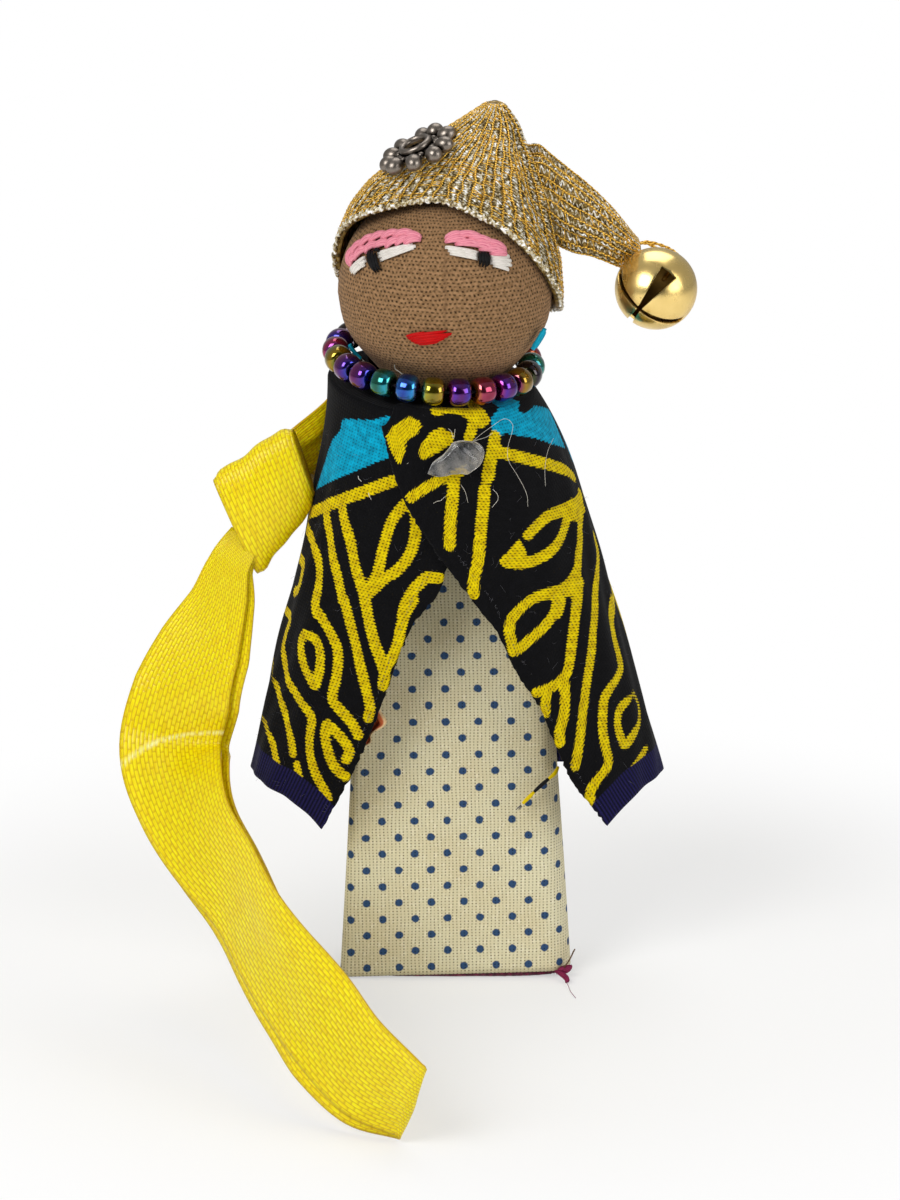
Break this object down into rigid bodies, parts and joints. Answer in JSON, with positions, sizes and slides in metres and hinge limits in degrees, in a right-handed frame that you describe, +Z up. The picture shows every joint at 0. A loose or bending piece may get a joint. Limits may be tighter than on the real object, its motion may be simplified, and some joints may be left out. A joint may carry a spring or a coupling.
{
  "type": "yarn doll",
  "caption": "Small standing cloth doll with a printed cape, bead necklace, knit hat with a jingle bell on its tail, and a hanging satin ribbon loop.",
  "frame": {"origin": "centre of the felt base's underside, where the doll stands", "axes": "+Z up through the head to the hat's peak, the face looks along -Y, and the bell hangs on the +X side"},
  "size_m": [0.084, 0.0932, 0.1312],
  "materials": {
    "magenta_felt": "matt felt",
    "wooden_core": "bare wood",
    "ecru_cotton": "ribbed open weave",
    "wax_print": "plain weave cotton",
    "clear_glue": "cloudy gloss",
    "rust_cotton": "plain weave cotton",
    "brown_stocking": "fine stocking knit",
    "filling": "loose cotton",
    "brown_thread": "twisted thread",
    "pink_floss": "twisted floss",
    "white_floss": "twisted floss",
    "black_floss": "twisted floss",
    "red_floss": "satin stitch",
    "gold_knit": "metallic yarn knit",
    "pewter": "darkened polished pewter",
    "satin_brass": "satin",
    "gold_thread": "metallic thread",
    "black_string": "waxed string",
    "purple_glass": "metallic iris coating",
    "teal_glass": "metallic iris coating",
    "olive_glass": "metallic iris coating",
    "magenta_glass": "metallic iris coating",
    "yellow_satin": "satin weave"
  },
  "bodies": {
    "doll": {"base_pad": "magenta_felt", "body_core": "wooden_core", "dress": "ecru_cotton", "cape": "wax_print", "glue_blob": "clear_glue", "cloth_scrap": "rust_cotton", "head_skin": "brown_stocking", "head_stuffing": "filling", "neck_thread": "brown_thread", "eyelid_left": "pink_floss", "eyelid_right": "pink_floss", "eye_white_left": "white_floss", "eye_white_right": "white_floss", "pupil_left": "black_floss", "pupil_right": "black_floss", "mouth": "red_floss", "hat_crown": "gold_knit", "flower_charm": "pewter", "ribbon_strap": "yellow_satin"},
    "necklace": {"necklace_string": "black_string", "bead_01": "olive_glass", "bead_02": "purple_glass", "bead_03": "magenta_glass", "bead_04": "purple_glass", "bead_05": "olive_glass", "bead_06": "purple_glass", "bead_07": "teal_glass", "bead_08": "magenta_glass", "bead_09": "purple_glass", "bead_10": "olive_glass", "bead_11": "teal_glass", "bead_12": "magenta_glass", "bead_13": "purple_glass", "bead_14": "olive_glass", "bead_15": "teal_glass", "bead_16": "magenta_glass", "bead_17": "purple_glass", "bead_18": "magenta_glass", "bead_19": "magenta_glass", "bead_20": "olive_glass", "bead_21": "magenta_glass", "bead_22": "purple_glass", "bead_23": "teal_glass", "bead_24": "teal_glass"},
    "tail": {"hat_tail": "gold_knit"},
    "bell_link": {"bell_thread": "gold_thread"},
    "bell": {"bell_shell": "satin_brass", "bell_shank": "satin_brass"},
    "pellet": {"bell_pellet": "satin_brass"},
    "knot": {"ribbon_knot": "yellow_satin"},
    "loop": {"ribbon_loop": "yellow_satin"}
  },
  "joints": [
    {"name": "necklace_turn", "type": "hinge", "parent": "doll", "child": "necklace", "pos_m": [-0.0032, 0.0003, 0.09321], "axis": [0.0872, -0.1041, 0.9907], "continuous": true},
    {"name": "hat_tail_flop", "type": "hinge", "parent": "doll", "child": "tail", "pos_m": [0.0138, 0.0028, 0.11721], "axis": [0, 1, 0], "range_deg": [-30, 6]},
    {"name": "bell_sway", "type": "hinge", "parent": "tail", "child": "bell_link", "pos_m": [0.0274, 0.00392, 0.10985], "axis": [0, 1, 0], "range_deg": [-60, 0]},
    {"name": "bell_swing", "type": "hinge", "parent": "bell_link", "child": "bell", "pos_m": [0.03195, 0.00464, 0.10613], "axis": [1, 0, 0], "range_deg": [0, 50]},
    {"name": "pellet_roll", "type": "hinge", "parent": "bell", "child": "pellet", "pos_m": [0.02889, -0.00119, 0.10391], "axis": [1, 0, 0], "range_deg": [-60, 60]},
    {"name": "ribbon_swing", "type": "hinge", "parent": "doll", "child": "knot", "pos_m": [-0.0252, 0.0012, 0.0742], "axis": [0, 1, 0], "range_deg": [-8, 45]},
    {"name": "loop_lift", "type": "hinge", "parent": "knot", "child": "loop", "pos_m": [-0.03291, -0.00357, 0.06315], "axis": [-1, 0, 0], "range_deg": [0, 60]}
  ]
}
